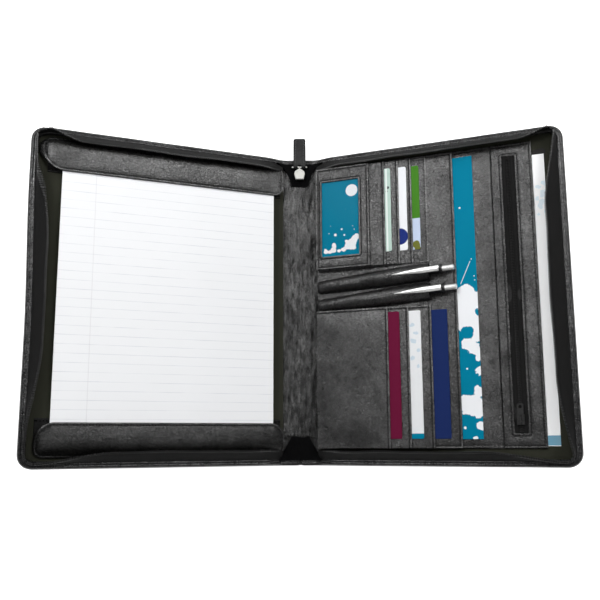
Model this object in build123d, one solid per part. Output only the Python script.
from build123d import *
import os

# A zip-around portfolio case, standing open on its spine with both covers raised.
# World frame: X across the spine, Y along it, Z up, origin under the middle of the spine.
# Each cover has its own flat frame: u outward from the crease, v up along the spine from the
# bottom edge, w inward from the outer skin. The crease is the hinge line of the cover.

# ---- driving dimensions, millimetres and degrees ----
COVER_HEIGHT = 325.0
COVER_WIDTH = 256.0
SPINE_WIDTH = 36.0
REST_FOLD = 22.0
CORNER_RADIUS = 13.0

# ---- cover layers, measured inward from the outer skin ----
SKIN_TOP = 1.2
FOAM_TOP = 2.2
BOARD_TOP = 4.2
LINING_TOP = 4.8
CREASE_GAP = 1.2
LAYER_START = 4.7
LEAF_GAP = 0.1
LEATHER = 0.7

# ---- edge binding, zip tape and coil round three sides ----
BINDING_WIDTH = 7.0
BINDING_TOP = 8.0
BINDING_ROUND = 2.4
TAPE_INSET_LOW = 4.5
TAPE_INSET_HIGH = 13.6
TAPE_TOP = 15.8
TAPE_THICKNESS = 1.0
TAPE_START = 20.0
COIL_INSET = 12.9
COIL_WIDTH = 2.5
COIL_TOP = 17.7
OUTLINE_RUN_OUT = 60.0
MIN_CORNER = 3.0

# ---- spine ----
SPINE_SKIN_HALF = 16.5
SPINE_PLATE_HALF = 12.4
SPINE_BOARD_TOP = 3.0
SPINE_LINING_TOP = 4.2
SPINE_LINING_V = (16.5, 286.0)

# ---- writing pad and its two retaining flaps, left cover ----
PAD_WIDTH = 216.0
PAD_HEIGHT = 279.0
PAD_U = 14.5
PAD_BACKING = 0.8
PAD_TOP = 11.0
FLAP_U = (12.0, 244.0)
FLAP_TOP = 12.3
TOP_FLAP_V = (281.0, 312.0)
BOTTOM_FLAP_V = (13.0, 42.0)
BAND_WIDTH_TOP = (281.0, 303.0)
BAND_WIDTH_BOTTOM = (22.0, 46.0)

# ---- document pocket with its zip, right cover ----
SHEET_WIDTH = 216.0
SHEET_HEIGHT = 279.0
LETTER_EDGE_U = 237.6
DOCUMENT_V = (17.0, 312.0)
DOCUMENT_EDGE_U = 226.5
DOCUMENT_BOTTOM = 5.8
DOCUMENT_TOP = 6.8
ZIP_WINDOW_U = (198.0, 209.5)
ZIP_WINDOW_V = (31.0, 299.0)
ZIP_MIDDLE_U = 203.7
POCKET_COIL_HALF = 1.1
POCKET_COIL_TOP = 7.3
SLIDER_V = 38.5
SLIDER_LENGTH = 9.5
SLIDER_HALF = 3.5
PULLER_LENGTH = 15.0
PULLER_HALF = 3.0

# ---- brochure and organiser panel ----
BROCHURE_WIDTH = 108.0
BROCHURE_EDGE_U = 169.0
BROCHURE_BOTTOM = 6.9
BROCHURE_TOP = 7.3
ORGANISER_V = (17.0, 311.0)
ORGANISER_EDGE_U = 149.5
ORGANISER_BOTTOM = 7.4
ORGANISER_TOP = 8.4

# ---- card slots: top slot first ----
CARD_LONG = 88.0
CARD_SHORT = 54.0
CARD_V = 213.5
CARD_EDGE_U = (86.0, 102.2, 115.0)
SLOT_EDGE_U = (79.8, 94.2, 107.4)
SLOT_V = (202.0, 307.0)
BLOCK_U = 12.0
CARD_THICKNESS = 0.7

# ---- identity window ----
ID_FRAME_EDGE_U = 63.5
ID_WINDOW_U = (16.0, 52.0)
ID_WINDOW_V = (213.5, 294.0)
ID_CARD_U = (14.0, 56.0)
FILM = 0.3

# ---- lower pockets: front pocket first ----
BOOKLET_WIDTH = 88.0
BOOKLET_HEIGHT = 125.0
BOOKLET_V = 26.0
BOOKLET_THICKNESS = 1.2
BOOKLET_EDGE_U = (92.0, 113.0, 139.0)
POCKET_EDGE_U = (80.8, 101.4, 123.7)
POCKET_U = 5.0
POCKET_V = (17.0, 155.5)

# ---- pens and their sleeves ----
PEN_TILT = 3.8
PEN_AXIS_W = 13.4
PEN_RADIUS = 4.2
PEN_LENGTH = 139.0
PEN_BARREL_END = 127.0
PEN_TIPS = ((10.0, 182.2), (12.0, 162.8))
BUTTON_RADIUS = 2.8
BUTTON_SOCKET = 3.2
SLEEVE_BORE = 4.6
SLEEVE_HALF = 5.9
SLEEVE_TOP = 18.6
SLEEVE_START_U = 6.0
SLEEVE_MOUTH_U = 123.5

# ---- main zip slider and its leather pull ----
SLIDER_PLATE_V = (300.5, 312.0)
SLIDER_PLATE_HALF = 4.7
PULL_AXIS_V = 314.5
PULL_AXIS_Z = 10.2
PULL_BAR_RADIUS = 0.7
PULL_BAR_HALF = 8.2
PULL_TIP_V = 346.8
PULL_TAB_HALF = 6.65
PULL_TAB_THICKNESS = 2.4

LEFT = -1
RIGHT = 1


def on_cover(side, piece):
    """Carry a piece from a cover's flat frame to its place at rest."""
    if side == LEFT:
        piece = mirror(piece, about=Plane.YZ)
    return Pos(side * SPINE_WIDTH / 2, 0, 0) * Rot(0, -side * REST_FOLD, 0) * piece


def plate(u_span, v_span, w_span, radius=0.0):
    """A flat piece with straight or rounded corners, in the cover's frame."""
    width = u_span[1] - u_span[0]
    height = v_span[1] - v_span[0]
    outline = RectangleRounded(width, height, radius) if radius else Rectangle(width, height)
    middle = Pos((u_span[0] + u_span[1]) / 2, (v_span[0] + v_span[1] - COVER_HEIGHT) / 2, w_span[0])
    return extrude(middle * outline, amount=w_span[1] - w_span[0])


def slab(centre, size):
    """A plain block by its centre and size."""
    return Pos(*centre) * Box(*size)


def cover_outline(inset, w):
    """The cover's outline at a distance inside its edge, run out past the crease."""
    width = COVER_WIDTH - inset + OUTLINE_RUN_OUT
    height = COVER_HEIGHT - 2 * inset
    radius = max(CORNER_RADIUS - inset, MIN_CORNER)
    middle_u = (COVER_WIDTH - inset - OUTLINE_RUN_OUT) / 2
    return Pos(middle_u, 0, w) * RectangleRounded(width, height, radius)


def beyond(start_u):
    """Everything of a cover that lies further out than start_u."""
    reach = COVER_WIDTH + OUTLINE_RUN_OUT
    return slab((start_u + reach / 2, 0, 0), (reach, 2 * COVER_HEIGHT, reach))


def cover_layer(inset, start_u, w_low, w_high):
    """One full layer of a cover."""
    return extrude(cover_outline(inset, w_low), amount=w_high - w_low) & beyond(start_u)


def edge_band(inset, width, start_u, w_low, w_high):
    """A band that follows three edges of a cover."""
    outer = extrude(cover_outline(inset, w_low), amount=w_high - w_low)
    inner = extrude(cover_outline(inset + width, w_low), amount=w_high - w_low)
    return (outer - inner) & beyond(start_u)


def edge_binding():
    """The rolled leather rim, rounded along its outer top edge."""
    outer = extrude(cover_outline(0, SKIN_TOP), amount=BINDING_TOP - SKIN_TOP)
    outer = fillet(outer.edges().group_by(Axis.Z)[-1], BINDING_ROUND)
    inner = extrude(cover_outline(BINDING_WIDTH, SKIN_TOP), amount=BINDING_TOP - SKIN_TOP)
    return (outer - inner) & beyond(LAYER_START)


def zip_tape():
    """The zip tape, standing on the binding and leaning in over the cover."""
    lean = (TAPE_INSET_HIGH - TAPE_INSET_LOW) / (TAPE_TOP - BINDING_TOP)
    outer_low = cover_outline(TAPE_INSET_LOW, BINDING_TOP)
    outer_high = cover_outline(TAPE_INSET_HIGH, TAPE_TOP)
    outer = loft([outer_low, outer_high], ruled=True)
    over = 1.0
    inner_low = cover_outline(TAPE_INSET_LOW + TAPE_THICKNESS - over * lean, BINDING_TOP - over)
    inner_high = cover_outline(TAPE_INSET_HIGH + TAPE_THICKNESS + over * lean, TAPE_TOP + over)
    inner = loft([inner_low, inner_high], ruled=True)
    return (outer - inner) & beyond(TAPE_START)


def shared_cover_pieces():
    """The pieces that both covers are made of."""
    inside = BINDING_WIDTH + LEAF_GAP
    return {
        "outer_leather": cover_layer(0, CREASE_GAP, 0, SKIN_TOP),
        "foam": cover_layer(inside, LAYER_START, SKIN_TOP, FOAM_TOP),
        "board": cover_layer(inside, LAYER_START, FOAM_TOP, BOARD_TOP),
        "lining": cover_layer(inside, LAYER_START, BOARD_TOP, LINING_TOP),
        "edge_binding": edge_binding(),
        "zip_tape": zip_tape(),
        "zip_coil": edge_band(COIL_INSET, COIL_WIDTH, TAPE_START, TAPE_TOP, COIL_TOP),
    }


def flap(v_span, block_v):
    """A padded flap: a leaf over the pad's end and a thick edge beside the pad."""
    leaf = plate(FLAP_U, v_span, (PAD_TOP + LEAF_GAP, FLAP_TOP))
    block = plate(FLAP_U, block_v, (LINING_TOP, PAD_TOP + LEAF_GAP))
    return leaf + block


def left_contents():
    """The writing pad, the bands under it and the two flaps that hold it."""
    pad_low = (COVER_HEIGHT - PAD_HEIGHT) / 2
    pad_u = (PAD_U, PAD_U + PAD_WIDTH)
    pad_v = (pad_low, pad_low + PAD_HEIGHT)
    pad_floor = LINING_TOP + LEATHER + LEAF_GAP
    band_u = (FLAP_U[0], FLAP_U[1])
    band_w = (LINING_TOP, LINING_TOP + LEATHER)
    top_block = (pad_v[1] + LEAF_GAP * 3, TOP_FLAP_V[1])
    bottom_block = (BOTTOM_FLAP_V[0], pad_v[0] - LEAF_GAP * 3)
    bands = [plate(band_u, (BAND_WIDTH_TOP[0], pad_v[1]), band_w)]
    bands.append(plate(band_u, (pad_v[0], BAND_WIDTH_BOTTOM[1]), band_w))
    return {
        "pad_retainer_bands": Compound(bands),
        "pad_retainer_top": flap(TOP_FLAP_V, top_block),
        "pad_retainer_bottom": flap(BOTTOM_FLAP_V, bottom_block),
        "pad_backing_card": plate(pad_u, pad_v, (pad_floor, pad_floor + PAD_BACKING)),
        "writing_pad": plate(pad_u, pad_v, (pad_floor + PAD_BACKING, PAD_TOP)),
    }


def document_pocket():
    """The large pocket: its leather face, zip, pouch and the sheet behind it."""
    face = plate((LAYER_START, DOCUMENT_EDGE_U), DOCUMENT_V, (DOCUMENT_BOTTOM, DOCUMENT_TOP))
    face -= plate(ZIP_WINDOW_U, ZIP_WINDOW_V, (0, COIL_TOP))
    under = DOCUMENT_BOTTOM - LEAF_GAP
    tape = plate((ZIP_WINDOW_U[0] - 2, ZIP_WINDOW_U[1] + 2), ZIP_WINDOW_V, (under - 0.3, under))
    coil_u = (ZIP_MIDDLE_U - POCKET_COIL_HALF, ZIP_MIDDLE_U + POCKET_COIL_HALF)
    coil = plate(coil_u, ZIP_WINDOW_V, (under, POCKET_COIL_TOP))
    pouch = plate((30.0, 222.0), (28.0, 302.0), (under - 0.4, under - 0.3))
    sheet_v = (19.0, 19.0 + SHEET_HEIGHT)
    sheet = plate((LETTER_EDGE_U - SHEET_WIDTH, LETTER_EDGE_U), sheet_v, (LINING_TOP + LEAF_GAP, 5.2))
    return {
        "document_pocket_panel": face,
        "pocket_zip_tape": tape,
        "pocket_zip_coil": coil,
        "zip_pocket_pouch": pouch,
        "letterhead": sheet,
    }


def organiser():
    """The organiser panel with the brochure behind it."""
    brochure_u = (BROCHURE_EDGE_U - BROCHURE_WIDTH, BROCHURE_EDGE_U)
    brochure_v = (25.5, 25.5 + SHEET_HEIGHT)
    panel_u = (LAYER_START, ORGANISER_EDGE_U)
    return {
        "brochure": plate(brochure_u, brochure_v, (BROCHURE_BOTTOM, BROCHURE_TOP)),
        "organizer_panel": plate(panel_u, ORGANISER_V, (ORGANISER_BOTTOM, ORGANISER_TOP)),
    }


def card_stack():
    """Three shingled card slots with their cards, under the identity window."""
    pieces = {}
    w = ORGANISER_TOP + LEAF_GAP
    for number in (3, 2, 1):
        card_edge = CARD_EDGE_U[number - 1]
        card_u = (card_edge - CARD_SHORT, card_edge)
        card_w = (w, w + CARD_THICKNESS)
        pieces[f"card_{number}"] = plate(card_u, (CARD_V, CARD_V + CARD_LONG), card_w, MIN_CORNER)
        w = card_w[1] + LEAF_GAP
        slot_w = (w, w + LEATHER)
        pieces[f"card_slot_{number}"] = plate((BLOCK_U, SLOT_EDGE_U[number - 1]), SLOT_V, slot_w)
        w = slot_w[1] + LEAF_GAP
    card_w = (w, w + CARD_THICKNESS)
    pieces["id_card"] = plate(ID_CARD_U, (210.0, 297.5), card_w, MIN_CORNER)
    w = card_w[1] + LEAF_GAP
    block_u = (BLOCK_U, ID_FRAME_EDGE_U)
    pieces["id_window_film"] = plate(block_u, SLOT_V, (w, w + FILM))
    frame = plate(block_u, SLOT_V, (w + FILM, w + FILM + LEATHER))
    window = plate(ID_WINDOW_U, ID_WINDOW_V, (w + FILM, w + FILM + LEATHER), MIN_CORNER)
    pieces["id_window_frame"] = frame - window
    return pieces


def lower_pockets():
    """Three shingled pockets with a booklet in each."""
    pieces = {}
    names = ("front", "middle", "rear")
    covers = ("red", "white", "blue")
    booklet_v = (BOOKLET_V, BOOKLET_V + BOOKLET_HEIGHT)
    w = ORGANISER_TOP + LEAF_GAP
    for layer in (2, 1, 0):
        booklet_u = (BOOKLET_EDGE_U[layer] - BOOKLET_WIDTH, BOOKLET_EDGE_U[layer])
        if booklet_u[0] < POCKET_U:
            booklet_u = (POCKET_U, BOOKLET_EDGE_U[layer])
        booklet_w = (w, w + BOOKLET_THICKNESS)
        pieces[f"booklet_{covers[layer]}"] = plate(booklet_u, booklet_v, booklet_w)
        w = booklet_w[1] + LEAF_GAP
        pocket_w = (w, w + LEATHER)
        pieces[f"pocket_{names[layer]}"] = plate((POCKET_U, POCKET_EDGE_U[layer]), POCKET_V, pocket_w)
        w = pocket_w[1] + LEAF_GAP
    return pieces


def turned(profile):
    """A solid of revolution about the pen's axis from (distance, radius) points."""
    return revolve(make_face(Polyline(*profile, close=True)), Axis.X)


def on_pen_axis(tip, piece):
    """Carry a piece from the pen's own axis to the cover's frame."""
    return Pos(tip[0], tip[1] - COVER_HEIGHT / 2, PEN_AXIS_W) * Rot(0, 0, PEN_TILT) * piece


def pen_barrel():
    """The barrel with its writing tip and the socket of the push button."""
    r = PEN_RADIUS
    outside = [(0, 0), (0, 0.6), (3, 1.2), (14, 3.5), (22, r), (PEN_BARREL_END, r)]
    inside = [(PEN_BARREL_END, BUTTON_SOCKET), (112, BUTTON_SOCKET), (112, 0)]
    return turned(outside + inside)


def pen_button():
    """The push button, free to travel in its socket."""
    r = BUTTON_RADIUS
    profile = [(118, 0), (118, r), (PEN_LENGTH - 1, r), (PEN_LENGTH, r - 1), (PEN_LENGTH, 0)]
    return turned(profile)


def pen_clip():
    """A collar on the barrel with a tapering arm that lies over the sleeve."""
    collar = turned([(118.5, PEN_RADIUS), (118.5, 5.0), (124.5, 5.0), (124.5, PEN_RADIUS)])
    arm_low = SLEEVE_TOP - PEN_AXIS_W + 0.3
    arm_outline = Polyline((78, -1.2), (124.5, -2.4), (124.5, 2.4), (78, 1.2), close=True)
    arm = Pos(0, 0, arm_low) * extrude(make_face(arm_outline), amount=0.9)
    root = slab((121.5, 0, (4.6 + arm_low) / 2 + 0.2), (6.0, 3.6, arm_low - 4.2))
    return collar + root + arm


def pen_sleeve(tip):
    """A padded leather tube that holds one pen."""
    start = (SLEEVE_START_U - tip[0])
    end = (SLEEVE_MOUTH_U - tip[0])
    low = ORGANISER_TOP + LEAF_GAP - PEN_AXIS_W
    high = SLEEVE_TOP - PEN_AXIS_W
    body = slab(((start + end) / 2, 0, (low + high) / 2), (end - start, 2 * SLEEVE_HALF, high - low))
    body = fillet(body.edges().filter_by(Axis.X).group_by(Axis.Z)[-1], SLEEVE_HALF - 1.5)
    bore = Pos(end - (end + 1) / 2, 0, 0) * Rot(0, 90, 0) * Cylinder(SLEEVE_BORE, end + 1)
    return on_pen_axis(tip, body - bore)


def pocket_slider():
    """The slider of the pocket zip: a saddle over the coil with a bridge for the puller."""
    middle_v = SLIDER_V + SLIDER_LENGTH / 2 - COVER_HEIGHT / 2
    u = ZIP_MIDDLE_U
    top = slab((u, middle_v, 8.0), (2 * SLIDER_HALF, SLIDER_LENGTH, 0.8))
    sides = []
    for hand in (-1, 1):
        sides.append(slab((u + hand * (SLIDER_HALF - 0.5), middle_v, 7.2), (1.0, SLIDER_LENGTH, 1.6)))
    bridge = slab((u, middle_v, 9.5), (1.6, 5.2, 2.2)) - slab((u, middle_v, 9.15), (2.0, 3.2, 1.5))
    return top + sides[0] + sides[1] + bridge


def pocket_puller():
    """A flat puller with a round hole at each end, hung on the slider's bridge."""
    hinge_v = SLIDER_V + SLIDER_LENGTH / 2 - COVER_HEIGHT / 2
    middle = (ZIP_MIDDLE_U, hinge_v + PULLER_LENGTH / 2 - 0.3, 9.15)
    blade = slab(middle, (2 * PULLER_HALF, PULLER_LENGTH, 0.8))
    blade = fillet(blade.edges().filter_by(Axis.Z), 1.4)
    front = slab((ZIP_MIDDLE_U, hinge_v + 2.5, 9.15), (2.6, 3.7, 2.0))
    eye = Pos(ZIP_MIDDLE_U, hinge_v + PULLER_LENGTH - 3.2, 9.15) * Cylinder(1.7, 2.0)
    return blade - front - eye


def main_slider():
    """The main slider, house-shaped from above, with an eye for the pull's bar."""
    low_y = SLIDER_PLATE_V[0] - COVER_HEIGHT / 2
    high_y = SLIDER_PLATE_V[1] - COVER_HEIGHT / 2
    axis_y = PULL_AXIS_V - COVER_HEIGHT / 2
    half = SLIDER_PLATE_HALF
    shoulder = high_y - 4.5
    points = [(-half, low_y), (half, low_y), (half, shoulder), (1.6, high_y), (-1.6, high_y), (-half, shoulder)]
    house = make_face(Polyline(*points, close=True))
    lower = Pos(0, 0, 7.6) * extrude(house, amount=0.8)
    upper = Pos(0, 0, 9.4) * extrude(house, amount=1.2)
    neck = slab((0, low_y + 6, 8.9), (3.0, 6.0, 1.2))
    lug = slab((0, axis_y - 1.2, PULL_AXIS_Z), (2.6, 6.4, 3.4))
    eye = Pos(0, axis_y, PULL_AXIS_Z) * Rot(0, 90, 0) * Cylinder(PULL_BAR_RADIUS + 0.3, 4)
    return lower + neck + upper + lug - eye


def pull_bar():
    """The wire bar on which the main pull hangs."""
    axis_y = PULL_AXIS_V - COVER_HEIGHT / 2
    return Pos(0, axis_y, PULL_AXIS_Z) * Rot(0, 90, 0) * Cylinder(PULL_BAR_RADIUS, 2 * PULL_BAR_HALF)


def pull_tab():
    """The leather pull, folded round the bar and cut out for the slider's eye."""
    axis_y = PULL_AXIS_V - COVER_HEIGHT / 2
    tip_y = PULL_TIP_V - COVER_HEIGHT / 2
    root_y = axis_y - 1.8
    size = (2 * PULL_TAB_HALF, tip_y - root_y, PULL_TAB_THICKNESS)
    tab = slab((0, (tip_y + root_y) / 2, PULL_AXIS_Z), size)
    tab = fillet(tab.edges().filter_by(Axis.Z).group_by(Axis.Y)[-1], 2.5)
    notch = slab((0, axis_y + 0.2, PULL_AXIS_Z), (3.4, 6.0, 6.0))
    return tab - notch - pull_bar()


def spine_pieces():
    """The stiffened spine strip and the two zip ends sewn to it."""
    half_height = COVER_HEIGHT / 2
    skin = slab((0, 0, SKIN_TOP / 2), (2 * SPINE_SKIN_HALF, COVER_HEIGHT, SKIN_TOP))
    board_height = COVER_HEIGHT - 6
    board_size = (2 * SPINE_PLATE_HALF, board_height, SPINE_BOARD_TOP - SKIN_TOP)
    board = slab((0, 0, (SKIN_TOP + SPINE_BOARD_TOP) / 2), board_size)
    lining = plate((-SPINE_PLATE_HALF, SPINE_PLATE_HALF), SPINE_LINING_V, (SPINE_BOARD_TOP, SPINE_LINING_TOP))
    top_y = (287.0 - half_height, 315.0 - half_height)
    top_points = [(-5, top_y[0]), (5, top_y[0]), (8, top_y[1]), (-8, top_y[1])]
    top_end = Pos(0, 0, SPINE_BOARD_TOP) * extrude(make_face(Polyline(*top_points, close=True)), amount=4.6)
    bottom_y = (3.5 - half_height, 16.0 - half_height)
    bottom_points = [(-8, bottom_y[0]), (8, bottom_y[0]), (5, bottom_y[1]), (-5, bottom_y[1])]
    bottom_end = Pos(0, 0, SPINE_BOARD_TOP) * extrude(make_face(Polyline(*bottom_points, close=True)), amount=4.6)
    return {
        "spine_outer_leather": skin,
        "spine_board": board,
        "spine_lining": lining,
        "zip_end_top": top_end,
        "zip_end_bottom": bottom_end,
        "main_zip_slider": main_slider(),
        "zip_pull_bar": pull_bar(),
        "zip_pull_tab": pull_tab(),
    }


def right_contents():
    """Everything that the right cover carries."""
    pieces = {}
    for group in (document_pocket(), organiser(), card_stack(), lower_pockets()):
        pieces.update(group)
    for number, tip in enumerate(PEN_TIPS, start=1):
        pieces[f"pen_{number}_barrel"] = on_pen_axis(tip, pen_barrel())
        pieces[f"pen_{number}_button"] = on_pen_axis(tip, pen_button())
        pieces[f"pen_{number}_clip"] = on_pen_axis(tip, pen_clip())
        pieces[f"pen_sleeve_{number}"] = pen_sleeve(tip)
    pieces["pocket_zip_slider"] = pocket_slider()
    pieces["pocket_zip_puller"] = pocket_puller()
    return pieces


def main():
    os.makedirs("parts", exist_ok=True)
    nodes = dict(spine_pieces())
    for side, word in ((LEFT, "left"), (RIGHT, "right")):
        for name, piece in shared_cover_pieces().items():
            nodes[f"{word}_{name}"] = on_cover(side, piece)
    for name, piece in left_contents().items():
        nodes[name] = on_cover(LEFT, piece)
    for name, piece in right_contents().items():
        nodes[name] = on_cover(RIGHT, piece)
    for name, piece in nodes.items():
        export_step(piece, f"parts/{name}.step")
    print(len(nodes), "nodes")


main()
